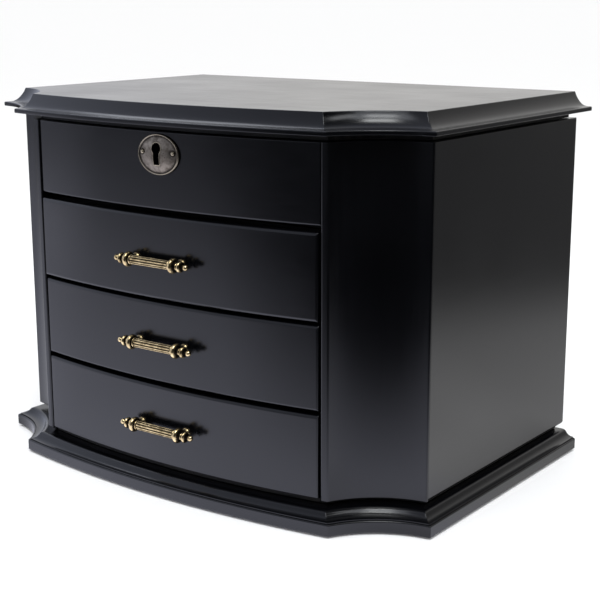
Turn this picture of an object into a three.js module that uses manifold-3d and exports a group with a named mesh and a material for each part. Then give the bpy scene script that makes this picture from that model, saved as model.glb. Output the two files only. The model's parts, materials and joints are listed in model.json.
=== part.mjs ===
// Bow-front jewelry chest: a moulded lift-up lid over a lined top compartment, three drawers below it.
// Millimetres, +Z up, front is -Y, origin at the centre of the footprint on the surface it stands on.
import * as THREE from "three";
import { mergeVertices } from "three/addons/utils/BufferGeometryUtils.js";
import Module from "manifold-3d";

// ---------------------------------------------------------------- driving dimensions
const GAP = 0.3; // glue-line / touching clearance
// plan outlines: xs half width, xf half width of the bowed front, ys front end of the side, yf end of the bow, yb back
const BODY = { xs: 160, xf: 114.5, ys: -61.67, yf: -94.78, yb: 114.02, bow: 10.8, scoop: 7.0 };
const LID_LIP = { xs: 167.9, xf: 120.3, ys: -72.74, yf: -105.88, yb: 118.19, bow: 11.0, scoop: 7.0 };
const LID_TOP = { xs: 156.4, xf: 112.3, ys: -63.6, yf: -96.93, yb: 116.9, bow: 10.9, scoop: 6.9 };
const BASE_LIP = { xs: 169.9, xf: 122.9, ys: -73.54, yf: -106.06, yb: 112.4, bow: 11.04, scoop: 7.0 };
const BASE_TOP = { xs: 162.7, xf: 117.0, ys: -67.31, yf: -100.12, yb: 112.4, bow: 11.0, scoop: 7.0 };
const PAD_T = 1.0, PAD_R = 9;
const BASE_Z = [1.3, 9.0, 13.15]; // underside, top of the upright face, top
const BODY_Z = [16.45, 220.65];
const LID_Z = [224.95, 227.8, 236.85]; // underside, top of the lip, top
const SHADOW_INSET = 4; // recess of the spacer and of the lid's under-frame behind the body's face
const STILE_X = 109.6; // inner edge of the front stiles
const SIDE_T = 10, BACK_T = 10;
const FRONT_BACK_Y = -86.5; // flat inner face of the drawer fronts
const FRONT_HALF_W = 108.3;
const DRAWERS = {
  upper: { z: [122.0, 171.4], box: [122.1, 164.5], pull: 144.7, proud: 0.8 },
  middle: { z: [69.7, 118.9], box: [70.0, 112.5], pull: 93.65, proud: 0 },
  lower: { z: [17.9, 66.9], box: [22.0, 60.5], pull: 41.5, proud: 0 },
};
const DRAWER_BOX = { x: 106, side: 6, back_y: 100, bottom: 3, lining: 1.2 };
const TOP_PANEL = { z: [175.2, 220.65], recess: 0.9, half_w: 109.3 };
const FLOOR_Z = [171.6, 175.1];
const LINING_Z = [175.4, 176.5];
const DUST = { lower: [66.5, 69.5], upper: [118.7, 121.7], front_y: -84.5, back_y: 103.7 };
const INNER_WALL = { x: [109.9, 114.9], z: [21.75, 171.3] };
const HINGE = { x: 95, len: 36, axis_y: 116.2, axis_z: 222.8, r: 1.85, pin_r: 0.8, bore_r: 1.05, leaf_t: 1.0, leaf_y: 104.8 };
const KEY = { x: 1.2, z: 210.8, r: 3.45, slot: 4.3, bottom: 201.3 }; // keyhole
const PLATE = { x: 1.2, z: 207.2, a: 15.75, b: 12.0, pin_dx: 11.75, pin_z: 208.5 };
const LOCK = { case_x: [-14.8, 17.2], case_y: [-85.3, -77.0], case_z: [198, 217.5], slot_y: [-84.1, -79.1] };
const BOLT = { x: [-11.5, 2.5], y: [-82.5, -79.5], z: [211, 215] }; // withdrawn; it shoots 5 along +X
const HOOK = { stem_x: [8.2, 11.2], toe_x: [3.5, 11.2], toe_z: [206, 210], y: [-82.5, -79.5] };
const PULL = { out: 7.2, bar_r: 2.7, ring_r: 4.6, ring_x: 17.9, half: 29.0, post_r: 1.9 };

// ---------------------------------------------------------------- booleans
const wasm = await Module();
wasm.setup();
function solid(geometry) {
  const g = geometry.clone();
  for (const name of Object.keys(g.attributes)) if (name !== "position") g.deleteAttribute(name);
  const m = mergeVertices(g, 1e-4);
  const vertProperties = Float32Array.from(m.attributes.position.array);
  return new wasm.Manifold(new wasm.Mesh({ numProp: 3, vertProperties, triVerts: Uint32Array.from(m.index.array) }));
}
function geometryOf(manifold) {
  const mesh = manifold.getMesh();
  const flat = new Float32Array(mesh.triVerts.length * 3);
  for (let i = 0; i < mesh.triVerts.length; i++)
    for (let k = 0; k < 3; k++) flat[3 * i + k] = mesh.vertProperties[mesh.numProp * mesh.triVerts[i] + k];
  const g = new THREE.BufferGeometry();
  g.setAttribute("position", new THREE.BufferAttribute(flat, 3));
  g.computeVertexNormals();
  return g;
}
const cut = (a, ...bs) => geometryOf(bs.reduce((m, b) => m.subtract(solid(b)), solid(a)));
const join = (a, ...bs) => geometryOf(bs.reduce((m, b) => m.add(solid(b)), solid(a)));

// ---------------------------------------------------------------- shape helpers
function arc(a, b, sag, n) {
  // points after a and up to b along a circular arc; sag > 0 bulges to the right of a -> b
  const dx = b[0] - a[0], dy = b[1] - a[1], c = Math.hypot(dx, dy);
  const r = (c * c / 4 + sag * sag) / (2 * Math.abs(sag)), half = Math.asin(c / 2 / r);
  const out = [];
  for (let i = 1; i <= n; i++) {
    const t = -half + (2 * half * i) / n;
    const off = (r * Math.cos(t) - r * Math.cos(half)) * Math.sign(sag), along = r * Math.sin(t);
    out.push([(a[0] + b[0]) / 2 + (dx / c) * along + (dy / c) * off, (a[1] + b[1]) / 2 + (dy / c) * along - (dx / c) * off]);
  }
  return out;
}
function outline(o, nBow = 20, nScoop = 8) {
  // counter-clockwise from above: back right, back left, left scoop, bow, right scoop
  const p = [[o.xs, o.yb], [-o.xs, o.yb], [-o.xs, o.ys]];
  p.push(...arc([-o.xs, o.ys], [-o.xf, o.yf], -o.scoop, nScoop));
  p.push(...arc([-o.xf, o.yf], [o.xf, o.yf], o.bow, nBow));
  p.push(...arc([o.xf, o.yf], [o.xs, o.ys], -o.scoop, nScoop));
  return p;
}
const mix = (a, b, t) => Object.fromEntries(Object.keys(a).map((k) => [k, a[k] + (b[k] - a[k]) * t]));
const inset = (o, d) => ({ xs: o.xs - d, xf: o.xf - 0.85 * d, ys: o.ys + 1.2 * d, yf: o.yf + 1.14 * d, yb: o.yb - d, bow: o.bow, scoop: o.scoop });
function stack(rings) {
  // closed body through plan outlines of equal length, each [points, z], bottom to top
  const n = rings[0][0].length, pos = [], tri = [];
  const v = (k, i) => { const [p, z] = rings[k]; const q = p[(i + n) % n]; return [q[0], q[1], z]; };
  for (let k = 0; k + 1 < rings.length; k++)
    for (let i = 0; i < n; i++) tri.push([v(k, i), v(k, i + 1), v(k + 1, i + 1)], [v(k, i), v(k + 1, i + 1), v(k + 1, i)]);
  for (const k of [0, rings.length - 1]) {
    const faces = THREE.ShapeUtils.triangulateShape(rings[k][0].map((q) => new THREE.Vector2(q[0], q[1])), []);
    for (const f of faces) { const t = f.map((i) => v(k, i)); tri.push(k === 0 ? [t[2], t[1], t[0]] : t); }
  }
  for (const t of tri) for (const q of t) pos.push(...q);
  const g = new THREE.BufferGeometry();
  g.setAttribute("position", new THREE.Float32BufferAttribute(pos, 3));
  g.computeVertexNormals();
  return g;
}
function prism(points, z0, z1, holes = []) {
  const s = new THREE.Shape(points.map((q) => new THREE.Vector2(q[0], q[1])));
  for (const h of holes) s.holes.push(new THREE.Path(h.map((q) => new THREE.Vector2(q[0], q[1]))));
  const g = new THREE.ExtrudeGeometry(s, { depth: z1 - z0, bevelEnabled: false });
  g.translate(0, 0, z0);
  return g;
}
function box(x, y, z) {
  const g = new THREE.BoxGeometry(x[1] - x[0], y[1] - y[0], z[1] - z[0]);
  g.translate((x[0] + x[1]) / 2, (y[0] + y[1]) / 2, (z[0] + z[1]) / 2);
  return g;
}
function rod(r, a, b, sides = 16) {
  const from = new THREE.Vector3(...a), to = new THREE.Vector3(...b), len = from.distanceTo(to);
  const g = new THREE.CylinderGeometry(r, r, len, sides);
  g.applyQuaternion(new THREE.Quaternion().setFromUnitVectors(new THREE.Vector3(0, 1, 0), to.clone().sub(from).normalize()));
  g.translate(...from.add(to).multiplyScalar(0.5).toArray());
  return g;
}
const BOW_R = (BODY.xf ** 2 + BODY.bow ** 2) / (2 * BODY.bow), BOW_YC = BODY.yf - BODY.bow + BOW_R;
const bowY = (x) => BOW_YC - Math.sqrt(BOW_R ** 2 - x * x);
function bowBoard(halfW, backY, z, shift, n = 18) {
  const p = [[halfW, backY + shift], [-halfW, backY + shift]];
  for (let i = 0; i <= n; i++) { const x = -halfW + (2 * halfW * i) / n; p.push([x, bowY(x) + shift]); }
  return prism(p, z[0], z[1]);
}
function keyhole(r, slot, y0, y1) {
  // prism of the keyhole outline, along Y
  const s = new THREE.Shape(), half = slot / 2, a0 = Math.asin(half / r), n = 14, pts = [];
  for (let i = 0; i <= n; i++) { const a = -Math.PI / 2 + a0 + ((2 * Math.PI - 2 * a0) * i) / n; pts.push([KEY.x + r * Math.cos(a), KEY.z + r * Math.sin(a)]); }
  pts.push([KEY.x - half, KEY.bottom - (r - KEY.r)], [KEY.x + half, KEY.bottom - (r - KEY.r)]);
  // drawn in X,Z and pushed along Y
  pts.forEach((q, i) => (i ? s.lineTo(q[0], q[1]) : s.moveTo(q[0], q[1])));
  const g = new THREE.ExtrudeGeometry(s, { depth: y1 - y0, bevelEnabled: false });
  g.rotateX(Math.PI / 2); // (x, z, d) -> (x, -d, z)
  g.translate(0, y1, 0);
  return g;
}

// ---------------------------------------------------------------- finishes
const finish = (color, roughness, metalness) => () => new THREE.MeshStandardMaterial({ color, roughness, metalness });
const lacquer = finish(0x131417, 0.28, 0), carcassWood = finish(0x1b1a19, 0.6, 0), brass = finish(0xb39354, 0.35, 1);
const pewter = finish(0x7a7268, 0.42, 1), suede = finish(0xb7a489, 0.95, 0), boxWood = finish(0x8a6a45, 0.7, 0);
const silvered = finish(0xdfe3e6, 0.03, 1), padFelt = finish(0x1d1d1f, 1, 0), steel = finish(0x9a9a98, 0.4, 1);

const chest = new THREE.Group();
function add(name, geometry, material, parent = chest) {
  const m = new THREE.Mesh(geometry, material());
  m.name = name;
  parent.add(m);
  return m;
}

// ---------------------------------------------------------------- base
const baseProfile = [[0.1, 1.3], [0, 2.0], [0, 8.7], [0.04, 9.0], [0.13, 9.05], [0.36, 9.35], [0.55, 10.0], [0.66, 10.9], [0.7, 11.6], [0.76, 12.4], [0.87, 12.95], [1.02, 13.15]];
add("base_moulding", stack(baseProfile.map(([t, z]) => [outline(mix(BASE_LIP, BASE_TOP, t)), z])), lacquer);
for (const [n, x, y] of [["front_left", -105, -84], ["front_right", 105, -84], ["back_left", -140, 92], ["back_right", 140, 92]])
  add("foot_pad_" + n, rod(PAD_R, [x, y, 0], [x, y, PAD_T], 20), padFelt);
add("spacer_board", prism(outline(inset(BODY, SHADOW_INSET), 16, 6), BASE_Z[2] + GAP, BODY_Z[0] - GAP), carcassWood);

// ---------------------------------------------------------------- carcass
const carcass = new THREE.Group();
chest.add(carcass);
const M = 10; // mitre depth where the scooped post meets the side panel
for (const [name, s] of [["left", -1], ["right", 1]]) {
  const side = [[160, BODY.ys + 0.42], [160, BODY.yb], [150, BODY.yb], [150, BODY.ys + M + 0.42]];
  const post = [[STILE_X, bowY(STILE_X)], [BODY.xf, BODY.yf]];
  post.push(...arc([BODY.xf, BODY.yf], [BODY.xs, BODY.ys], -BODY.scoop, 10));
  post.push([150, BODY.ys + M], [141, -53.5], [118, -78], [117, -84.8], [STILE_X, -84.8]);
  const turned = (p) => (s > 0 ? p : p.map((q) => [-q[0], q[1]]).reverse());
  add("side_panel_" + name, prism(turned(side), ...BODY_Z), lacquer, carcass);
  add("corner_post_" + name, prism(turned(post), ...BODY_Z), lacquer, carcass);
  const x = s > 0 ? INNER_WALL.x : [-INNER_WALL.x[1], -INNER_WALL.x[0]];
  add("inner_wall_" + name, box(x, [DUST.front_y, DUST.back_y], INNER_WALL.z), carcassWood, carcass);
}
add("back_panel", box([-150 + GAP, 150 - GAP], [BODY.yb - BACK_T, BODY.yb], BODY_Z), lacquer, carcass);
const room = (d) => {
  const left = [[-149.7 + d, -51.2 + d], [-140.7 + d, -52.9 + d], [-117.5 + d, -77.9 + d], [-116.6 + d, DUST.front_y + d]];
  return [[149.7 - d, 103.7 - d], [-149.7 + d, 103.7 - d], ...left, ...left.map((q) => [-q[0], q[1]]).reverse()];
};
add("bottom_board", prism(room(0), BODY_Z[0], 21.45), carcassWood, carcass);
add("compartment_floor", prism(room(0), ...FLOOR_Z), carcassWood, carcass);
for (const k of ["lower", "upper"])
  add("dust_panel_" + k, box([-109.6, 109.6], [DUST.front_y, DUST.back_y], DUST[k]), carcassWood, carcass);

// ---------------------------------------------------------------- fixed top front, keyhole plate, lock
const top = new THREE.Group();
chest.add(top);
const panelFace = bowY(0) + TOP_PANEL.recess, plateBack = panelFace - GAP;
const pinX = [PLATE.x - PLATE.pin_dx, PLATE.x + PLATE.pin_dx];
add("top_front_panel", cut(bowBoard(TOP_PANEL.half_w, FRONT_BACK_Y, TOP_PANEL.z, TOP_PANEL.recess), keyhole(KEY.r + 0.15, KEY.slot + 0.3, -112, -80),
  ...pinX.map((x) => rod(0.95, [x, -112, PLATE.pin_z], [x, -96, PLATE.pin_z], 10))), lacquer, top);
{
  // oval plate: raised rim, groove, domed field; radii for the short half axis, heights from the back
  const prof = [[0, 0], [12, 0], [12, 0.9], [11.75, 1.35], [11.3, 1.55], [10.8, 1.4], [10.4, 1.0], [9.6, 1.2], [7.5, 1.95], [5, 2.45], [2.5, 2.7], [0, 2.78]];
  const g = new THREE.LatheGeometry(prof.map((q) => new THREE.Vector2(q[0], q[1])), 28);
  g.rotateX(Math.PI); // the dome faces -Y
  g.scale(PLATE.a / PLATE.b, 1, 1);
  g.translate(PLATE.x, plateBack, PLATE.z);
  add("escutcheon", cut(g, keyhole(KEY.r, KEY.slot, -112, -98), ...pinX.map((x) => rod(0.95, [x, -112, PLATE.pin_z], [x, -98, PLATE.pin_z], 10))), pewter, top);
}
for (const [i, x] of pinX.entries()) {
  const y0 = plateBack - 1.25; // seat of the head on the plate
  const prof = [[0, -7], [0.6, -6.6], [0.6, 0.3], [1.5, 0.3], [1.45, 0.75], [1.05, 1.2], [0.5, 1.42], [0, 1.5]];
  const g = new THREE.LatheGeometry(prof.map((q) => new THREE.Vector2(q[0], q[1])), 10);
  g.rotateX(Math.PI);
  g.translate(x, y0 - 0.25, PLATE.pin_z);
  add("escutcheon_pin_" + (i ? "right" : "left"), g, pewter, top);
}
// the case is open at the top for the lid's hook and across it for the bolt
add("lock_case", cut(box(LOCK.case_x, LOCK.case_y, LOCK.case_z), box([HOOK.toe_x[0] - 0.7, HOOK.toe_x[1] + 0.7], LOCK.slot_y, [HOOK.toe_z[0] - 0.7, 225]),
  box([BOLT.x[0] - 0.5, HOOK.toe_x[1] + 0.7], LOCK.slot_y, [BOLT.z[0] - 0.4, BOLT.z[1] + 0.4]), keyhole(KEY.r, KEY.slot, -90, -82.4)), steel, top);
add("lock_bolt", box(BOLT.x, BOLT.y, BOLT.z), steel);

// ---------------------------------------------------------------- top compartment fittings
const fittings = new THREE.Group();
chest.add(fittings);
add("compartment_lining", prism(room(0.5), ...LINING_Z), suede, fittings);
const DIV_Z = [LINING_Z[1] + GAP, 212];
const DIV_X = 52, DIV_T = 5;
for (const [name, s] of [["left", -1], ["right", 1]])
  add("divider_" + name, box([s * DIV_X - DIV_T / 2, s * DIV_X + DIV_T / 2], [-84, 103.2], DIV_Z), suede, fittings);
add("divider_front", box([-DIV_X + DIV_T / 2 + GAP, DIV_X - DIV_T / 2 - GAP], [-30, -25], DIV_Z), suede, fittings);
add("divider_cross", box([DIV_X + DIV_T / 2 + GAP, 149.2], [18, 23], DIV_Z), suede, fittings);
{
  // ring cushion: seven padded rolls side by side, wavy top
  const y0 = -24.2, y1 = 102.8, rolls = 7, pitch = (y1 - y0) / rolls, z0 = LINING_Z[1] + GAP, z1 = 203, dip = 8;
  const p = [[y0 + 0.6, z0], [y1 - 0.6, z0]];
  for (let k = rolls - 1; k >= 0; k--)
    for (let i = 6; i >= 0; i--) {
      if (i === 6 && k < rolls - 1) continue;
      const t = i / 6, y = y0 + pitch * (k + t);
      p.push([y, z1 - dip + dip * Math.sqrt(Math.max(0, 1 - (2 * t - 1) ** 2))]);
    }
  const s = new THREE.Shape(p.map((q) => new THREE.Vector2(q[0], q[1])));
  const g = new THREE.ExtrudeGeometry(s, { depth: 2 * (DIV_X - DIV_T / 2 - GAP), bevelEnabled: false });
  g.rotateY(Math.PI / 2); g.rotateX(Math.PI / 2); // shape x -> Y, shape y -> Z, depth -> X
  const b = new THREE.Box3().setFromBufferAttribute(g.attributes.position), c = b.getCenter(new THREE.Vector3());
  g.translate(-c.x, (y0 + y1) / 2 - c.y, (z0 + z1) / 2 - c.z);
  add("ring_cushion", g, suede, fittings);
}

// ---------------------------------------------------------------- lid
const lid = new THREE.Group();
chest.add(lid);
const lidProfile = [[0.05, 224.95], [0, 225.4], [0, 227.3], [0.03, 227.75], [0.16, 228.0], [0.36, 228.95], [0.52, 230.2], [0.68, 231.95], [0.8, 233.8], [0.87, 235.2], [0.9, 236.2], [0.95, 236.7], [1.02, 236.85]];
const lidBody = stack(lidProfile.map(([t, z]) => [outline(mix(LID_LIP, LID_TOP, t)), z]));
add("lid_slab", lidBody, lacquer, lid);
const FRAME_Z = [BODY_Z[1] + GAP, LID_Z[0] - GAP], open = { x: 128, y: [-64, 90] };
const hingeNotch = [-1, 1].map((s) => box([s * HINGE.x - HINGE.len / 2 - 0.4, s * HINGE.x + HINGE.len / 2 + 0.4], [HINGE.leaf_y - 0.4, 130], [200, 240]));
const plateSlot = { x: [KEY.x - 12, KEY.x + 12], y: [-86, -76] };
add("lid_frame", cut(prism(outline(inset(BODY, SHADOW_INSET), 16, 6), ...FRAME_Z, [[[open.x, open.y[1]], [-open.x, open.y[1]], [-open.x, open.y[0]], [open.x, open.y[0]]].reverse()]),
  ...hingeNotch,
  box([plateSlot.x[0] - GAP, plateSlot.x[1] + GAP], [plateSlot.y[0] - GAP, plateSlot.y[1] + GAP], [210, FRAME_Z[0] + 1.1])), carcassWood, lid);
add("lid_mirror", box([-open.x + 0.4, open.x - 0.4], [open.y[0] + 0.4, open.y[1] - 0.4], [FRAME_Z[1] - 2.4, FRAME_Z[1]]), silvered, lid);
add("strike_hook", join(box(plateSlot.x, plateSlot.y, [FRAME_Z[0], FRAME_Z[0] + 0.8]), box(HOOK.stem_x, HOOK.y, [HOOK.toe_z[0], FRAME_Z[0] + 0.4]), box(HOOK.toe_x, HOOK.y, HOOK.toe_z)), brass, lid);

// ---------------------------------------------------------------- hinges
for (const [name, s] of [["left", -1], ["right", 1]]) {
  const c = s * HINGE.x, h = HINGE.len / 2, k = HINGE.len / 6, y = HINGE.axis_y, z = HINGE.axis_z;
  const bore = rod(HINGE.bore_r, [c - 40, y, z], [c + 40, y, z], 14);
  const zl = [z - HINGE.r, z - HINGE.r + HINGE.leaf_t], zu = [z + HINGE.r - HINGE.leaf_t, z + HINGE.r];
  const leafBody = join(box([c - h, c + h], [HINGE.leaf_y, y - HINGE.r - 0.35], zl), box([c - h, c - k - 0.2], [y - HINGE.r - 0.5, y], zl), box([c + k + 0.2, c + h], [y - HINGE.r - 0.5, y], zl),
    rod(HINGE.r, [c - h, y, z], [c - k - 0.2, y, z], 14), rod(HINGE.r, [c + k + 0.2, y, z], [c + h, y, z], 14));
  add("hinge_leaf_body_" + name, cut(leafBody, bore), brass);
  const leafLid = join(box([c - h, c + h], [HINGE.leaf_y, y - HINGE.r - 0.35], zu), box([c - k + 0.2, c + k - 0.2], [y - HINGE.r - 0.5, y], zu), rod(HINGE.r, [c - k + 0.2, y, z], [c + k - 0.2, y, z], 14));
  add("hinge_leaf_lid_" + name, cut(leafLid, bore), brass, lid);
  add("hinge_pin_" + name, rod(HINGE.pin_r, [c - h, y, z], [c + h, y, z], 12), brass);
}

// ---------------------------------------------------------------- drawers
function pull(z, faceY) {
  // turned bar along X: ball, bead, neck, ring, collar, bar and back again
  const half = [[0, 29.0], [0.9, 28.75], [1.6, 28.0], [1.8, 27.2], [1.5, 26.1], [1.0, 25.4], [1.1, 24.9], [2.6, 24.5], [3.4, 23.7], [3.4, 23.0], [2.5, 22.1], [1.9, 21.6], [2.1, 20.4], [3.3, 19.8], [4.5, 18.8], [4.6, 17.6], [4.0, 16.4], [2.9, 15.9], [3.1, 15.3], [2.7, 14.8]];
  const prof = [...half, ...half.map(([r, x]) => [r, -x]).reverse()];
  const g = new THREE.LatheGeometry(prof.reverse().map((q) => new THREE.Vector2(q[0], q[1])), 14);
  g.rotateZ(-Math.PI / 2);
  const barY = faceY - PULL.out;
  g.translate(0, barY, z);
  const posts = [-1, 1].map((s) => rod(PULL.post_r, [s * PULL.ring_x, barY + 1.5, z], [s * PULL.ring_x, faceY, z], 10));
  const feet = [-1, 1].map((s) => rod(2.9, [s * PULL.ring_x, faceY - 1.2, z], [s * PULL.ring_x, faceY, z], 10));
  return join(g, ...posts, ...feet);
}
for (const [name, d] of Object.entries(DRAWERS)) {
  const g = new THREE.Group();
  chest.add(g);
  const s = -d.proud, f = FRONT_BACK_Y + s, x = DRAWER_BOX.x, t = DRAWER_BOX.side, yb = DRAWER_BOX.back_y + s, y0 = f + GAP;
  const bz = [d.box[0] + 0.6, d.box[0] + 0.6 + DRAWER_BOX.bottom];
  add(`drawer_${name}_front`, bowBoard(FRONT_HALF_W, FRONT_BACK_Y, d.z, s), lacquer, g);
  add(`drawer_${name}_side_left`, box([-x, -x + t], [y0, yb], d.box), boxWood, g);
  add(`drawer_${name}_side_right`, box([x - t, x], [y0, yb], d.box), boxWood, g);
  add(`drawer_${name}_back`, box([-x + t + GAP, x - t - GAP], [yb - t, yb], d.box), boxWood, g);
  add(`drawer_${name}_bottom`, box([-x + t + GAP, x - t - GAP], [y0, yb - t - GAP], bz), boxWood, g);
  add(`drawer_${name}_lining`, box([-x + t + 0.6, x - t - 0.6], [y0 + 0.3, yb - t - 0.6], [bz[1] + GAP, bz[1] + GAP + DRAWER_BOX.lining]), suede, g);
  add(`drawer_${name}_pull`, pull(d.pull, bowY(PULL.ring_x) + s - GAP), brass, g);
}

export default chest;
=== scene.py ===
import json
import math

import bmesh
import bpy
import numpy as np
from mathutils import Matrix, Vector

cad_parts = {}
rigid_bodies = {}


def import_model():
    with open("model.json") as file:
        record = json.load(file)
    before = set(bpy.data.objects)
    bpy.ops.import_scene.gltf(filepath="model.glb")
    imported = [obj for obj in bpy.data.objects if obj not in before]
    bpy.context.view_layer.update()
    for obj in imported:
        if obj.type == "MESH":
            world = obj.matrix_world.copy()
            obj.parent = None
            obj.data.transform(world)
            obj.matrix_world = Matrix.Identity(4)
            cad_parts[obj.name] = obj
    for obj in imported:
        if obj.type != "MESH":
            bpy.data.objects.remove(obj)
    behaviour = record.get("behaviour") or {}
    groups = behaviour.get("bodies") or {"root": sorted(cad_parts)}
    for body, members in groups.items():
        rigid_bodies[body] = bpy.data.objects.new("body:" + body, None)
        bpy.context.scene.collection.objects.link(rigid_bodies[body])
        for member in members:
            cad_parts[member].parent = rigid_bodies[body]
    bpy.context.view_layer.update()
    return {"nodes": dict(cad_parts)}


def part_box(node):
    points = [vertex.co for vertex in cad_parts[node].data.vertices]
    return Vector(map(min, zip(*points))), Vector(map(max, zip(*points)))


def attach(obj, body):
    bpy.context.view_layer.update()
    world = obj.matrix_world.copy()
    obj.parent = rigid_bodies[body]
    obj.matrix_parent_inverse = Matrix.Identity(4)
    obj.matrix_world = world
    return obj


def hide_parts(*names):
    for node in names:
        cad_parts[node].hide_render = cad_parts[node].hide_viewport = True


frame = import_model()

MM = 0.001


def rides(node):
    return frame["nodes"][node].parent.name.split(":", 1)[1]


def node_box(node):
    lo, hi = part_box(node)
    return [v * 1000 for v in lo], [v * 1000 for v in hi]


# ------------------------------------------------------------------ the plan and heights the CAD uses
BODY = dict(xs=160, xf=114.5, ys=-61.67, yf=-94.78, yb=114.02, bow=10.8, scoop=7.0)
LID_LIP = dict(xs=167.9, xf=120.3, ys=-72.74, yf=-105.88, yb=118.19, bow=11.0, scoop=7.0)
LID_TOP = dict(xs=156.4, xf=112.3, ys=-63.6, yf=-96.93, yb=116.9, bow=10.9, scoop=6.9)
BASE_LIP = dict(xs=169.9, xf=122.9, ys=-73.54, yf=-106.06, yb=112.4, bow=11.04, scoop=7.0)
BASE_TOP = dict(xs=162.7, xf=117.0, ys=-67.31, yf=-100.12, yb=112.4, bow=11.0, scoop=7.0)
STILE_X = 109.6
BOW_R = (BODY["xf"] ** 2 + BODY["bow"] ** 2) / (2 * BODY["bow"])
BOW_YC = BODY["yf"] - BODY["bow"] + BOW_R
KEY = dict(x=1.2, z=210.8, r=3.45, slot=4.3, bottom=201.3)
PLATE = dict(x=1.2, z=207.2, a=15.75, b=12.0, pin_dx=11.75, pin_z=208.5)
PULL = dict(out=7.2, ring_x=17.9)
COMPARTMENT_Z = 175.4


def bow_y(x):
    return BOW_YC - math.sqrt(BOW_R**2 - x * x)


# ------------------------------------------------------------------ shape helpers
def arc(a, b, sag, n):
    """points after a and up to b; sag > 0 bulges to the right of a -> b"""
    dx, dy = b[0] - a[0], b[1] - a[1]
    c = math.hypot(dx, dy)
    r = (c * c / 4 + sag * sag) / (2 * abs(sag))
    half = math.asin(c / 2 / r)
    out = []
    for i in range(1, n + 1):
        t = -half + 2 * half * i / n
        off = (r * math.cos(t) - r * math.cos(half)) * (1 if sag > 0 else -1)
        along = r * math.sin(t)
        out.append(((a[0] + b[0]) / 2 + dx / c * along + dy / c * off, (a[1] + b[1]) / 2 + dy / c * along - dx / c * off))
    return out


def fillet(points, index, r, n=4):
    """the corner at index of a closed plan rounded to radius r"""
    k = len(points)
    p = [np.array(points[(index + d) % k], float) for d in (-1, 0, 1)]
    u, v = p[0] - p[1], p[2] - p[1]
    lu, lv = np.linalg.norm(u), np.linalg.norm(v)
    u, v = u / lu, v / lv
    inner = math.acos(max(-1, min(1, float(u @ v))))
    t = min(r / math.tan(inner / 2), lu * 0.49, lv * 0.49)
    r = t * math.tan(inner / 2)
    centre = p[1] + (u + v) / np.linalg.norm(u + v) * (r / math.sin(inner / 2))
    a, b = p[1] + u * t - centre, p[1] + v * t - centre
    out = []
    for i in range(n + 1):
        w = i / n
        q = a * (1 - w) + b * w
        out.append(tuple(centre + q / np.linalg.norm(q) * r))
    return out


def outline(o, n_bow=48, n_scoop=22, soft=0.5, back=0.6):
    """closed plan from above, counter-clockwise, its six corners a little rounded"""
    xs, xf, ys, yf, yb = o["xs"], o["xf"], o["ys"], o["yf"], o["yb"]
    p = [(xs, yb), (-xs, yb), (-xs, ys)]
    p += arc((-xs, ys), (-xf, yf), -o["scoop"], n_scoop)
    p += arc((-xf, yf), (xf, yf), o["bow"], n_bow)
    p += arc((xf, yf), (xs, ys), -o["scoop"], n_scoop)
    corners = {0: back, 1: back, 2: soft, 2 + n_scoop: soft, 2 + n_scoop + n_bow: soft, 2 + 2 * n_scoop + n_bow: soft}
    out = []
    for i, q in enumerate(p):
        out += fillet(p, i, corners[i]) if i in corners else [q]
    return out


def mix(a, b, t):
    return {k: a[k] + (b[k] - a[k]) * t for k in a}


def mesh(name, verts, faces, body, material, stands_for=(), sharp=32, weld=True, extra=(), weighted=True):
    """a piece from vertices in millimetres; extra holds more materials"""
    me = bpy.data.meshes.new(name)
    me.from_pydata([(x * MM, y * MM, z * MM) for x, y, z in verts], [], faces)
    bm = bmesh.new()
    bm.from_mesh(me)
    if weld:
        bmesh.ops.remove_doubles(bm, verts=bm.verts, dist=2e-6)
    bmesh.ops.recalc_face_normals(bm, faces=bm.faces)
    bm.to_mesh(me)
    bm.free()
    return piece(name, me, body, material, stands_for, sharp, extra, weighted)


def piece(name, me, body, material, stands_for=(), sharp=32, extra=(), weighted=True):
    for m in (material, *extra):
        me.materials.append(m)
    me.polygons.foreach_set("use_smooth", [True] * len(me.polygons))
    me.set_sharp_from_angle(angle=math.radians(sharp))
    me.update()
    ob = bpy.data.objects.new(name, me)
    bpy.context.scene.collection.objects.link(ob)
    if weighted:
        w = ob.modifiers.new("even_shading", "WEIGHTED_NORMAL")
        w.keep_sharp = True
        w.weight = 60
    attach(ob, body)
    if stands_for:
        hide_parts(*stands_for)
    return ob


def loft(rings, close=True):
    """closed body through equal rings of (x, y, z), first one below"""
    n = len(rings[0])
    verts = [q for ring in rings for q in ring]
    faces = []
    for k in range(len(rings) - 1):
        for i in range(n):
            j = (i + 1) % n
            faces.append((k * n + i, k * n + j, (k + 1) * n + j, (k + 1) * n + i))
    if close:
        faces.append(tuple(reversed(range(n))))
        faces.append(tuple((len(rings) - 1) * n + i for i in range(n)))
    return verts, faces


def prism_bm(points, z0, z1, levels=()):
    """upright prism in a bmesh, in metres; levels are heights where the walls are cut"""
    zs = [z0, *levels, z1]
    verts, faces = loft([[(x, y, z) for x, y in points] for z in zs])
    bm = bmesh.new()
    vs = [bm.verts.new((x * MM, y * MM, z * MM)) for x, y, z in verts]
    for f in faces:
        bm.faces.new([vs[i] for i in f])
    bmesh.ops.recalc_face_normals(bm, faces=bm.faces)
    return bm


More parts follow.
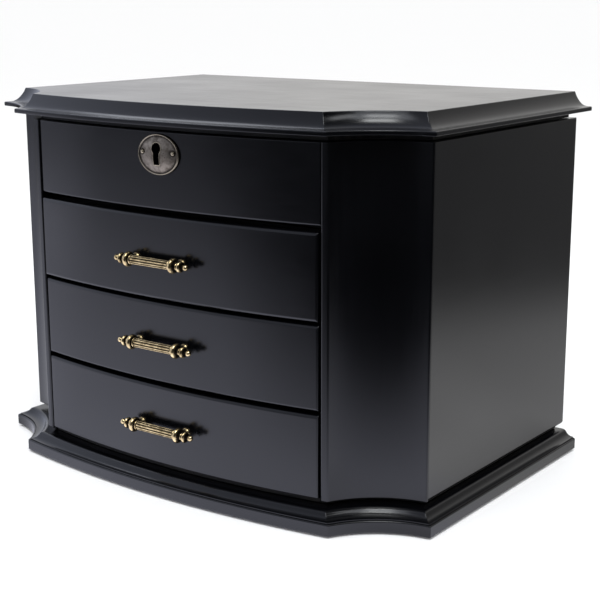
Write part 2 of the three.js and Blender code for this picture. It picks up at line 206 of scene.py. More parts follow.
def eased(bm, radius_of, width, segments=3):
    """rounds the edges whose fold is over 25 degrees, each by radius_of(midpoint mm, direction, edge) up to width"""
    layer = bm.edges.layers.float.get("bevel_weight_edge") or bm.edges.layers.float.new("bevel_weight_edge")
    bm.edges.ensure_lookup_table()
    for e in bm.edges:
        w = 0.0
        if len(e.link_faces) == 2 and e.calc_face_angle(0) > math.radians(25):
            mid = (e.verts[0].co + e.verts[1].co) / 2 * 1000
            d = (e.verts[1].co - e.verts[0].co).normalized()
            w = min(1.0, radius_of(mid, d, e) / width)
        e[layer] = w
    me = bpy.data.meshes.new("eased")
    bm.to_mesh(me)
    bm.free()
    ob = bpy.data.objects.new("eased", me)
    bpy.context.scene.collection.objects.link(ob)
    b = ob.modifiers.new("b", "BEVEL")
    b.limit_method = "WEIGHT"
    b.width = width * MM
    b.segments = segments
    b.use_clamp_overlap = True
    b.miter_outer = "MITER_SHARP"
    return baked(ob)


def baked(ob):
    """the object's mesh with its modifiers applied; the object goes"""
    dg = bpy.context.evaluated_depsgraph_get()
    dg.update()
    me = bpy.data.meshes.new_from_object(ob.evaluated_get(dg), depsgraph=dg)
    old = ob.data
    bpy.data.objects.remove(ob)
    bpy.data.meshes.remove(old)
    return me


def boolean_cut(me, cutters):
    ob = bpy.data.objects.new("cut", me)
    bpy.context.scene.collection.objects.link(ob)
    tools = []
    for i, c in enumerate(cutters):
        t = bpy.data.objects.new(f"tool{i}", c)
        bpy.context.scene.collection.objects.link(t)
        m = ob.modifiers.new(f"c{i}", "BOOLEAN")
        m.operation, m.solver, m.object = "DIFFERENCE", "EXACT", t
        tools.append(t)
    out = baked(ob)
    for t in tools:
        d = t.data
        bpy.data.objects.remove(t)
        bpy.data.meshes.remove(d)
    return out


def keyhole_points(grow=0.0, n=26):
    """the keyhole's outline as (x, z), clockwise from the slot's left side, seen from the front"""
    r, half = KEY["r"] + grow, KEY["slot"] / 2 + grow
    a0 = math.asin(half / r)
    pts = []
    for i in range(n + 1):
        a = -math.pi / 2 + a0 + (2 * math.pi - 2 * a0) * i / n
        pts.append((KEY["x"] + r * math.cos(a), KEY["z"] + r * math.sin(a)))
    pts += [(KEY["x"] - half, KEY["bottom"] - grow), (KEY["x"] + half, KEY["bottom"] - grow)]
    return pts


def along_y(points, y0, y1):
    """mesh of an (x, z) outline pushed along Y, in metres"""
    verts = [(x * MM, y0 * MM, z * MM) for x, z in points] + [(x * MM, y1 * MM, z * MM) for x, z in points]
    n = len(points)
    faces = [tuple(range(n)), tuple(reversed(range(n, 2 * n)))]
    faces += [(i, i + n, (i + 1) % n + n, (i + 1) % n) for i in range(n)]
    me = bpy.data.meshes.new("along_y")
    me.from_pydata(verts, [], faces)
    bm = bmesh.new()
    bm.from_mesh(me)
    bmesh.ops.recalc_face_normals(bm, faces=bm.faces)
    bm.to_mesh(me)
    bm.free()
    return me


def circle(cx, cz, r, n=20):
    return [(cx + r * math.cos(2 * math.pi * i / n), cz + r * math.sin(2 * math.pi * i / n)) for i in range(n)]


# ------------------------------------------------------------------ finishes
class Nodes:
    def __init__(self, name):
        self.mat = bpy.data.materials.new(name)
        self.mat.use_nodes = True
        self.t = self.mat.node_tree
        self.p = self.t.nodes["Principled BSDF"]
        self.coord = self.t.nodes.new("ShaderNodeTexCoord").outputs["Object"]

    def set(self, **values):
        for k, v in values.items():
            self.p.inputs[k.replace("_", " ")].default_value = v

    def link(self, a, b):
        self.t.links.new(a, b)

    def mapping(self, scale, turn=(0, 0, 0), shift=(0, 0, 0), source=None):
        m = self.t.nodes.new("ShaderNodeMapping")
        m.inputs["Scale"].default_value = scale
        m.inputs["Rotation"].default_value = turn
        m.inputs["Location"].default_value = shift
        self.link(source or self.coord, m.inputs["Vector"])
        return m.outputs["Vector"]

    def noise(self, scale, detail=3.0, rough=0.55, vector=None, distortion=0.0):
        n = self.t.nodes.new("ShaderNodeTexNoise")
        n.inputs["Scale"].default_value = scale
        n.inputs["Detail"].default_value = detail
        n.inputs["Roughness"].default_value = rough
        n.inputs["Distortion"].default_value = distortion
        self.link(vector or self.coord, n.inputs["Vector"])
        return n.outputs["Fac"]

    def wave(self, scale, vector, distortion=2.0, detail=2.0, direction="X", detail_scale=1.0):
        n = self.t.nodes.new("ShaderNodeTexWave")
        n.bands_direction = direction
        n.inputs["Scale"].default_value = scale
        n.inputs["Distortion"].default_value = distortion
        n.inputs["Detail"].default_value = detail
        n.inputs["Detail Scale"].default_value = detail_scale
        self.link(vector, n.inputs["Vector"])
        return n.outputs["Fac"]

    def voronoi(self, scale, vector=None):
        n = self.t.nodes.new("ShaderNodeTexVoronoi")
        n.inputs["Scale"].default_value = scale
        self.link(vector or self.coord, n.inputs["Vector"])
        return n.outputs["Distance"]

    def range(self, value, a, b, low=0.0, high=1.0):
        n = self.t.nodes.new("ShaderNodeMapRange")
        n.inputs["From Min"].default_value = low
        n.inputs["From Max"].default_value = high
        n.inputs["To Min"].default_value = a
        n.inputs["To Max"].default_value = b
        self.link(value, n.inputs["Value"])
        return n.outputs["Result"]

    def ramp(self, value, stops):
        n = self.t.nodes.new("ShaderNodeValToRGB")
        e = n.color_ramp.elements
        e[0].position, e[0].color = stops[0][0], (*stops[0][1], 1)
        e[1].position, e[1].color = stops[-1][0], (*stops[-1][1], 1)
        for pos, col in stops[1:-1]:
            x = e.new(pos)
            x.color = (*col, 1)
        self.link(value, n.inputs["Fac"])
        return n.outputs["Color"]

    def blend(self, fac, a, b, kind="MIX"):
        n = self.t.nodes.new("ShaderNodeMix")
        n.data_type = "RGBA"
        n.blend_type = kind
        sockets = {s.identifier: s for s in n.inputs}
        for value, key in ((fac, "Factor_Float"), (a, "A_Color"), (b, "B_Color")):
            if isinstance(value, (int, float)):
                sockets[key].default_value = value
            elif isinstance(value, tuple):
                sockets[key].default_value = (*value, 1)
            else:
                self.link(value, sockets[key])
        return {s.identifier: s for s in n.outputs}["Result_Color"]

    def math(self, kind, a, b=0.0):
        n = self.t.nodes.new("ShaderNodeMath")
        n.operation = kind
        for value, socket in ((a, n.inputs[0]), (b, n.inputs[1])):
            if isinstance(value, (int, float)):
                socket.default_value = value
            else:
                self.link(value, socket)
        return n.outputs[0]

    def attribute(self, name):
        n = self.t.nodes.new("ShaderNodeAttribute")
        n.attribute_name = name
        return n.outputs["Fac"]

    def bump(self, *layers):
        """layers of (height, strength, distance in mm)"""
        normal = None
        for height, strength, distance in layers:
            n = self.t.nodes.new("ShaderNodeBump")
            n.inputs["Strength"].default_value = strength
            n.inputs["Distance"].default_value = distance * MM
            self.link(height, n.inputs["Height"])
            if normal is not None:
                self.link(normal, n.inputs["Normal"])
            normal = n.outputs["Normal"]
        self.link(normal, self.p.inputs["Normal"])

    def color(self, c):
        self.link(c, self.p.inputs["Base Color"])

    def rough(self, r):
        self.link(r, self.p.inputs["Roughness"])


def lacquer(name, along):
    """satin black lacquer: faint grain under it along one axis, fine orange peel, roughness that drifts"""
    n = Nodes(name)
    stretch = {"x": (14, 420, 420), "y": (420, 14, 420), "z": (420, 420, 14)}[along]
    grain = n.noise(1.0, 4.0, 0.6, n.mapping(stretch))
    peel = n.noise(520, 2.0, 0.5)
    cloud = n.noise(16, 3.0, 0.5)
    tint = n.ramp(n.math("MULTIPLY", n.math("ADD", grain, cloud), 0.5), [(0.3, (0.0004, 0.00045, 0.0008)), (0.7, (0.0013, 0.0014, 0.0021))])
    n.color(tint)
    n.rough(n.math("ADD", n.range(cloud, 0.19, 0.235, 0.3, 0.7), n.range(grain, -0.012, 0.014, 0.3, 0.7)))
    n.bump((grain, 0.05, 0.05), (peel, 0.055, 0.03))
    n.set(IOR=1.5)
    return n.mat


def wood(name, dark, mid, light, along, rough=(0.46, 0.62), ring=70, strength=0.35):
    """timber with growth bands, streaks and pores, grain running along one axis"""
    n = Nodes(name)
    stretch = {"x": (0.07, 1, 1), "y": (1, 0.07, 1), "z": (1, 1, 0.07)}[along]
    v = n.mapping(stretch)
    warp = n.noise(9, 3.0, 0.5, v)
    cross = {"x": "Y", "y": "X", "z": "X"}[along]
    bands = n.wave(ring, v, 3.2, 3.0, cross, 0.9)
    streak = n.noise(330, 3.0, 0.6, v)
    pores = n.noise(1500, 2.0, 0.6, n.mapping(tuple(s if s == 1 else 0.035 for s in stretch)))
    mixture = n.math("ADD", n.math("MULTIPLY", bands, 0.42), n.math("ADD", n.math("MULTIPLY", streak, 0.4), n.math("MULTIPLY", warp, 0.2)))
    base = n.ramp(mixture, [(0.22, dark), (0.5, mid), (0.8, light)])
    hole = n.ramp(pores, [(0.36, (0.45, 0.42, 0.4)), (0.47, (1, 1, 1))])
    n.color(n.blend(0.75, base, hole, "MULTIPLY"))
    n.rough(n.range(streak, rough[0], rough[1], 0.3, 0.7))
    n.bump((pores, strength * 0.6, 0.12), (streak, strength * 0.4, 0.08))
    return n.mat


def nap(name, dark, light, scale=1.0, sheen=0.35):
    """suede or felt: mottled pile, brushed patches, fine fibre bump"""
    n = Nodes(name)
    brushed = n.noise(26 * scale, 4.0, 0.6, distortion=0.6)
    pile = n.noise(1900, 2.0, 0.7)
    fibre = n.noise(620, 3.0, 0.65, n.mapping((1, 1.7, 1), (0.3, 0.2, 0.6)))
    n.color(n.ramp(n.math("ADD", n.math("MULTIPLY", brushed, 0.6), n.math("ADD", n.math("MULTIPLY", pile, 0.2), n.math("MULTIPLY", fibre, 0.2))), [(0.34, dark), (0.68, light)]))
    n.rough(n.range(fibre, 0.86, 0.98, 0.3, 0.7))
    n.bump((fibre, 0.5, 0.25), (pile, 0.55, 0.12))
    n.set(Sheen_Weight=sheen, Sheen_Roughness=0.45)
    n.p.inputs["Specular IOR Level"].default_value = 0.2
    return n.mat


def metal(name, clean, worn, rough=(0.22, 0.45), patina_and_shade=None, recess=None, brushed=None, grain=1.0, rubbed=None):
    """metal whose colour and roughness wander, darker where the piece's recess attribute says: patina in hollows, and
    painted shade where the attribute marks a shaded side
    """
    n = Nodes(name)
    cloud = n.noise(140 * grain, 4.0, 0.6, distortion=0.4)
    fine = n.noise(1500, 3.0, 0.6)
    c = n.ramp(cloud, [(0.34, worn), (0.6, clean)])
    r = n.range(cloud, rough[1], rough[0], 0.32, 0.66)
    if brushed:
        lines = n.noise(1.0, 3.0, 0.6, n.mapping(brushed))
        c = n.blend(n.range(lines, 0.0, 0.4, 0.35, 0.65), c, worn)
        r = n.math("ADD", r, n.range(lines, -0.05, 0.07, 0.3, 0.7))
    if recess:
        hollow = n.attribute(recess)
        spread = n.math("ADD", hollow, n.range(fine, -0.16, 0.16, 0.3, 0.7))
        mask = n.range(spread, 0.0, 1.0, 0.12, 0.78)
        # the dark colour laid by the recess mask: patina in hollows, partly painted shade on the pulls' backs and posts
        c = n.blend(mask, c, patina_and_shade)
        r = n.math("ADD", r, n.math("MULTIPLY", mask, 0.24))
    if rubbed:
        bare = n.attribute("rub")
        c = n.blend(bare, c, rubbed)
        r = n.math("SUBTRACT", r, n.math("MULTIPLY", bare, 0.1))
    n.color(c)
    n.rough(r)
    n.set(Metallic=1.0)
    n.bump((fine, 0.12, 0.03), (cloud, 0.16, 0.12))
    return n.mat


LACQUER_X = lacquer("lacquer_grain_x", "x")
LACQUER_Y = lacquer("lacquer_grain_y", "y")
LACQUER_Z = lacquer("lacquer_grain_z", "z")
STAINED_X = wood("stained_board_x", (0.003, 0.0025, 0.002), (0.006, 0.005, 0.004), (0.011, 0.009, 0.007), "x", (0.55, 0.7), 60)
STAINED_Y = wood("stained_board_y", (0.010, 0.008, 0.007), (0.020, 0.016, 0.013), (0.034, 0.027, 0.021), "y", (0.5, 0.66), 60)
DRAWER_X = wood("drawer_wood_x", (0.20, 0.105, 0.052), (0.34, 0.195, 0.10), (0.47, 0.295, 0.165), "x")
DRAWER_Y = wood("drawer_wood_y", (0.20, 0.105, 0.052), (0.34, 0.195, 0.10), (0.47, 0.295, 0.165), "y")
SUEDE = nap("suede_lining", (0.34, 0.265, 0.185), (0.52, 0.43, 0.32))
PAD_FELT = nap("pad_felt", (0.010, 0.010, 0.011), (0.026, 0.026, 0.028), 2.0, 0.2)
# the near-black recess colour is patina in the hollows and painted shade on the pulls' backs and posts
AGED_BRASS = metal("aged_brass", (0.95, 0.735, 0.39), (0.37, 0.27, 0.125), (0.09, 0.22), (0.012, 0.009, 0.006), "recess", grain=1.8)
PLATED_BRASS = metal("plated_brass", (0.80, 0.61, 0.30), (0.62, 0.45, 0.21), (0.2, 0.36), brushed=(60, 900, 900))
PEWTER = metal("aged_pewter", (0.27, 0.235, 0.19), (0.15, 0.126, 0.098), (0.26, 0.42), (0.030, 0.025, 0.020), "recess", grain=2.4, rubbed=(0.50, 0.43, 0.30))
STEEL = metal("lock_steel", (0.46, 0.46, 0.45), (0.30, 0.29, 0.28), (0.3, 0.5), brushed=(60, 900, 900))


def mirror_finish():
    n = Nodes("silvered_glass")
    smudge = n.noise(22, 4.0, 0.6, distortion=0.8)
    n.color(n.ramp(smudge, [(0.3, (0.80, 0.82, 0.82)), (0.7, (0.88, 0.90, 0.90))]))
    n.rough(n.range(smudge, 0.012, 0.05, 0.42, 0.75))
    n.set(Metallic=1.0)
    n.bump((n.noise(3.2, 1.0, 0.4), 0.02, 0.4))
    return n.mat


MIRROR = mirror_finish()


# ------------------------------------------------------------------ mouldings
def moulding(name, lip, top, profile, body, node, flat_inset=1.4, soft=0.45):
    rings = []
    for t, z in profile:
        rings.append([(x, y, z) for x, y in outline(mix(lip, top, t), soft=soft)])
    # narrow flat bands beside the underside's and the top's edges keep the broad faces level in the shading
    low = [(x * 0.994, y * 0.994, profile[0][1]) for x, y, _ in rings[0]]
    high = [(x * 0.994, y * 0.994, profile[-1][1]) for x, y, _ in rings[-1]]
    verts, faces = loft([low, *rings, high])
    ob = mesh(name, verts, faces, body, LACQUER_X, (node,), sharp=38)
    return ob


def rounded(t0, z0, t1, z1, kind, n=6):
    """quarter-turn profile points after (t0, z0) up to (t1, z1); kind says which end leaves level"""
    out = []
    for i in range(1, n + 1):
        a = math.pi / 2 * i / n
        if kind == "level_first":
            out.append((t0 + (t1 - t0) * math.sin(a), z0 + (z1 - z0) * (1 - math.cos(a))))
        else:
            out.append((t0 + (t1 - t0) * (1 - math.cos(a)), z0 + (z1 - z0) * math.sin(a)))
    return out


# lid: small square lip, then one shallow cove up to a crisp top edge
lid_profile = [(0.06, 224.95), (0.02, 225.06), (0.0, 225.35), (0.0, 227.05)]
lid_profile += rounded(0.0, 227.05, 0.065, 227.72, "upright_first", 6)
lid_profile += [(0.1, 227.77), (0.2, 227.8), (0.27, 227.86), (0.35, 228.02), (0.42, 228.25), (0.49, 228.6), (0.555, 229.08), (0.61, 229.6)]
lid_profile += [(0.66, 230.18), (0.71, 230.84), (0.755, 231.52), (0.80, 232.25), (0.84, 232.98), (0.88, 233.8), (0.915, 234.6), (0.945, 235.38), (0.965, 236.0)]
lid_profile += [(0.978, 236.42), (0.987, 236.63), (0.998, 236.77), (1.012, 236.835), (1.03, 236.85)]
lid_ob = moulding("lid_moulding", LID_LIP, LID_TOP, lid_profile, rides("lid_slab"), "lid_slab")

base_profile = [(0.08, 1.3), (0.03, 1.42), (0.0, 1.85), (0.0, 7.45)]
base_profile += rounded(0.0, 7.45, 0.11, 8.4, "upright_first", 8)
base_profile += [(0.122, 8.39), (0.135, 8.33), (0.143, 8.05), (0.185, 8.02), (0.19, 8.12), (0.193, 8.9), (0.2, 8.99)]
base_profile += [(0.2 + 0.78 * math.sin(math.radians(q)), 9.0 + 4.6 * (1 - math.cos(math.radians(q)))) for q in (8, 16, 24, 32, 40, 47, 53, 59, 64)]
base_profile += [(0.938, 12.0), (0.978, 12.33), (1.025, 12.61), (1.078, 12.82), (1.138, 12.97), (1.205, 13.07), (1.285, 13.13), (1.4, 13.16)]
base_ob = moulding("base_moulded", BASE_LIP, BASE_TOP, base_profile, rides("base_moulding"), "base_moulding")


# ------------------------------------------------------------------ carcass
def wall_slots(me, inward):
    """second material on the faces inside the top compartment"""
    for f in me.polygons:
        c = f.center * 1000
        if c.z > COMPARTMENT_Z and inward(c, f.normal):
            f.material_index = 1


Z0, Z1 = 16.45, 220.65
for side, s in (("left", -1), ("right", 1)):
    post = [(STILE_X, bow_y(STILE_X)), (BODY["xf"], BODY["yf"])]
    post += arc((BODY["xf"], BODY["yf"]), (BODY["xs"], BODY["ys"]), -BODY["scoop"], 26)
    post += [(160, -60.3), (150, -50.3), (141, -53.5), (118, -78), (117, -84.8), (STILE_X, -84.8)]
    panel = [(160, -60.27), (160, BODY["yb"]), (150, BODY["yb"]), (150, -50.27)]
    if s < 0:
        post = [(-x, y) for x, y in reversed(post)]
        panel = [(-x, y) for x, y in reversed(panel)]

    def post_radius(mid, d, e, s=s):
        x, y = mid.x * s, mid.y
        if abs(d.z) > 0.9:  # upright arrises
            if y < -84 and x < 111:
                return 1.5 if y < -90 else 0.3
            if x < 116 and y < -90:
                return 0.9
            if x > 159.5 and y < -61:
                return 1.0
            return 0.15
        outside = (y < bow_y(min(x, 114)) + 0.6 if x < 114.5 else (x - 114.5) * 33.11 - (y + 94.78) * 45.5 > -400) or x > 159.9
        return (0.9 if mid.z < 20 else 0.7) if outside else 0.3

    body = rides("corner_post_" + side)
    bm = prism_bm(post, Z0 - 0.5, Z1, (COMPARTMENT_Z,))
    me = eased(bm, post_radius, 1.7, 4)
    wall_slots(me, lambda c, n, s=s: c.x * s > 111 and (n.y > 0.3 or n.x * s < -0.6) and n.x * s < 0.3 and c.y > -84.6 and abs(n.z) < 0.5)
    piece("post_" + side, me, body, LACQUER_Z, ("corner_post_" + side,), extra=(SUEDE,))

    def panel_radius(mid, d, e, s=s):
        x, y = mid.x * s, mid.y
        if abs(d.z) > 0.9:
            return 1.5 if y > 113 and x > 155 else 0.12
        if x > 159.5:
            return 1.9 if mid.z < 20 else 0.7
        if y > 113 and mid.z < 20:
            return 1.7
        return 0.25

    bm = prism_bm(panel, Z0, Z1, (COMPARTMENT_Z,))
    me = eased(bm, panel_radius, 1.9, 5)
    wall_slots(me, lambda c, n, s=s: n.x * s < -0.9)
    piece("side_" + side, me, body, LACQUER_Y, ("side_panel_" + side,), extra=(SUEDE,))

bm = prism_bm([(-149.9, 104.02), (149.9, 104.02), (149.9, 114.02), (-149.9, 114.02)], Z0, Z1, (COMPARTMENT_Z,))
me = eased(bm, lambda mid, d, e: (0.9 if mid.z < 20 else 0.6) if mid.y > 113 and abs(d.z) < 0.5 else 0.15, 0.9, 3)
wall_slots(me, lambda c, n: n.y < -0.9)
piece("back_board", me, rides("back_panel"), LACQUER_X, ("back_panel",), extra=(SUEDE,))


# ------------------------------------------------------------------ bowed fronts
def bowed(name, half_w, z, shift, node, edge, over, under, cutters=(), levels=(), extra=()):
    p = [(half_w, -86.5 + shift), (-half_w, -86.5 + shift)]
    n = 44
    for i in range(n + 1):
        x = -half_w + 2 * half_w * i / n
        p.append((x, bow_y(x) + shift))

    def radius(mid, d, e):
        front = mid.y < bow_y(min(abs(mid.x), half_w)) + shift + 1.0
        if front and abs(d.z) < 0.9:
            return under if mid.z < (z[0] + z[1]) / 2 else over
        return edge if front else 0.4

    bm = prism_bm(p, *z, levels=levels)
    me = eased(bm, radius, max(edge, over, under), 5)
    if cutters:
        me = boolean_cut(me, cutters)
    if extra:
        wall_slots(me, lambda c, nn: nn.y > 0.9 and c.y > -90)
    return piece(name, me, rides(node), LACQUER_X, (node,), extra=extra)


TOP_RECESS = 0.9
plate_back = bow_y(0) + TOP_RECESS - 0.3
pins_x = [PLATE["x"] - PLATE["pin_dx"], PLATE["x"] + PLATE["pin_dx"]]
bowed("front_fixed", 109.55, (174.3, 220.65), TOP_RECESS, "top_front_panel", 0.9, 0.9, 1.8,
      [along_y(keyhole_points(0.15), -112, -80), *[along_y(circle(x, PLATE["pin_z"], 0.95), -112, -96) for x in pins_x]], extra=(SUEDE,))
DRAWERS = {
    "upper": dict(z=(120.7, 171.4), pull=144.7, proud=0.8, under=2.2),
    "middle": dict(z=(69.2, 118.9), pull=93.65, proud=0.0, under=1.8),
    "lower": dict(z=(17.5, 66.9), pull=41.5, proud=0.0, under=0.5),
}
for name, d in DRAWERS.items():
    bowed(f"front_{name}", 108.3, d["z"], -d["proud"], f"drawer_{name}_front", 1.0, 2.1, d["under"])


# ------------------------------------------------------------------ turned pulls
def ease_profile(points, n=4):
    """Catmull-Rom through the points, with n steps between each pair"""
    p = [points[0], *points, points[-1]]
    out = []
    for i in range(1, len(p) - 2):
        a, b, c, d = (np.array(q, float) for q in p[i - 1 : i + 3])
        for k in range(n):
            t = k / n
            out.append(tuple(0.5 * (2 * b + (c - a) * t + (2 * a - 5 * b + 4 * c - d) * t * t + (3 * b - a - 3 * c + d) * t**3)))
    out.append(tuple(points[-1]))
    return out


def pull_profile():
    """(radius, x, patina) from the tip to the start of the reeds"""
    out = []
    for i in range(10):  # ball
        a = math.pi * 0.80 * i / 9
        out.append((1.8 * math.sin(a), 27.2 + 1.8 * math.cos(a), 0.0 if i < 8 else 0.5))
    out += [(0.98, 25.55, 1.0), (0.95, 25.25, 1.0), (1.1, 25.02, 1.0), (1.35, 24.85, 1.0), (1.85, 24.6, 0.9), (2.5, 24.3, 0.7), (3.0, 24.02, 0.3)]
    out += [(3.28, 23.68, 0.0), (3.38, 23.3, 0.0), (3.3, 22.92, 0.0), (3.0, 22.55, 0.3), (2.5, 22.28, 0.75), (1.95, 22.1, 0.9), (1.65, 21.9, 1.0)]
    out += [(1.6, 21.6, 1.0), (1.7, 21.35, 0.8), (2.05, 21.15, 0.15), (2.25, 20.98, 0.0), (2.25, 20.8, 0.0), (2.05, 20.62, 0.4), (1.95, 20.45, 1.0)]
    out += [(2.15, 20.2, 1.0), (2.5, 19.85, 0.95), (3.0, 19.5, 0.85), (3.6, 19.18, 0.7), (4.15, 18.85, 0.35), (4.5, 18.45, 0.0), (4.66, 17.95, 0.0), (4.64, 17.4, 0.0)]
    out += [(4.42, 16.9, 0.0), (4.0, 16.52, 0.45), (3.4, 16.26, 0.8), (2.7, 16.1, 1.0), (2.1, 15.98, 1.0), (2.0, 15.78, 1.0), (2.6, 15.62, 0.4), (3.0, 15.48, 0.0)]
    out += [(3.12, 15.25, 0.0), (3.05, 15.02, 0.0), (2.75, 14.88, 0.6), (2.55, 14.74, 0.9)]
    return out


def pull_mesh(name, z, face_y, body, node):
    half = pull_profile()
    around, bar = 80, [(2.8, x, 0.0) for x in (14.4, 14.0, 10.5, 7.0, 3.5, 0.0)]
    prof = half + bar + [(r, -x, c) for r, x, c in reversed(bar[:-1])] + [(r, -x, c) for r, x, c in reversed(half)]
    y_axis = face_y - PULL["out"]
    verts, recess, faces = [], [], []
    for r, x, c in prof:
        for k in range(around):
            th = 2 * math.pi * k / around
            rr, cc = r, c
            if abs(x) < 14.6:
                lobe = abs(math.sin(5 * th))
                rr = r - 0.75 * (1 - lobe**0.8)
                cc = max(c, 1.3 * (1 - lobe) ** 0.8)
            cc = max(cc, min(1.0, -1.6 * math.cos(th) - 0.1))  # the half facing the drawer gets the dark patina colour: partly unpolished patina, partly painted shade of the gap behind the bar
            verts.append((x, y_axis - rr * math.cos(th), z + rr * math.sin(th)))
            recess.append(cc)
    n = len(prof)
    for i in range(n - 1):
        for k in range(around):
            j = (k + 1) % around
            faces.append((i * around + k, i * around + j, (i + 1) * around + j, (i + 1) * around + k))
    base = len(verts)

    # a post behind each ring, flared on a small foot where it meets the face
    post_prof = [(1.55, 1.2), (1.6, 3.0), (1.75, 4.6), (2.1, 5.6), (2.75, 6.15), (2.95, 6.45), (2.95, 7.05), (2.8, 7.2)]
    for s in (-1, 1):
        start = len(verts)
        for r, dist in post_prof:
            for k in range(24):
                a = 2 * math.pi * k / 24
                verts.append((s * PULL["ring_x"] + r * math.cos(a), y_axis + dist, z + r * math.sin(a)))
                # partly patina, partly painted shade: the posts in the gap behind the bar are darkened along most of
                # their length
                recess.append(0.75 if dist < 5.8 else 0.4)
        for i in range(len(post_prof) - 1):
            for k in range(24):
                j = (k + 1) % 24
                faces.append((start + i * 24 + k, start + i * 24 + j, start + (i + 1) * 24 + j, start + (i + 1) * 24 + k))
        faces.append(tuple(start + k for k in range(24)))
        faces.append(tuple(start + (len(post_prof) - 1) * 24 + k for k in reversed(range(24))))
    me = bpy.data.meshes.new(name)
    me.from_pydata([(x * MM, y * MM, q * MM) for x, y, q in verts], [], faces)
    layer = me.attributes.new("recess", "FLOAT", "POINT")
    layer.data.foreach_set("value", recess)
    bm = bmesh.new()
    bm.from_mesh(me)
    bmesh.ops.remove_doubles(bm, verts=bm.verts, dist=2e-6)
    bmesh.ops.recalc_face_normals(bm, faces=bm.faces)
    bm.to_mesh(me)
    bm.free()
    return piece(name, me, body, AGED_BRASS, (node,), sharp=70, weighted=False)


for name, d in DRAWERS.items():
    node = f"drawer_{name}_pull"
    pull_mesh(f"pull_{name}", d["pull"], bow_y(PULL["ring_x"]) - d["proud"], rides(node), node)


# ------------------------------------------------------------------ keyhole plate and its pins
def plate_height(rho):
    """height over the back for the share of the way to the oval's edge"""
    r = rho * 12.0
    pts = [(0, 2.62), (2, 2.57), (4, 2.42), (6, 2.1), (7.5, 1.72), (8.8, 1.26), (9.6, 0.95), (10.2, 0.74), (10.6, 0.64), (10.85, 0.62), (11.02, 0.68), (11.2, 0.86), (11.38, 1.04), (11.55, 1.09), (11.72, 1.03), (11.87, 0.84), (11.96, 0.6), (12.0, 0.3)]
    return float(np.interp(r, [p[0] for p in pts], [p[1] for p in pts]))


def plate_recess(rho):
    r = rho * 12.0
    return float(np.interp(r, [0, 9.6, 10.5, 10.85, 11.05, 11.25, 11.7, 12], [0.0, 0.1, 0.55, 0.85, 0.8, 0.0, 0.0, 0.3]))


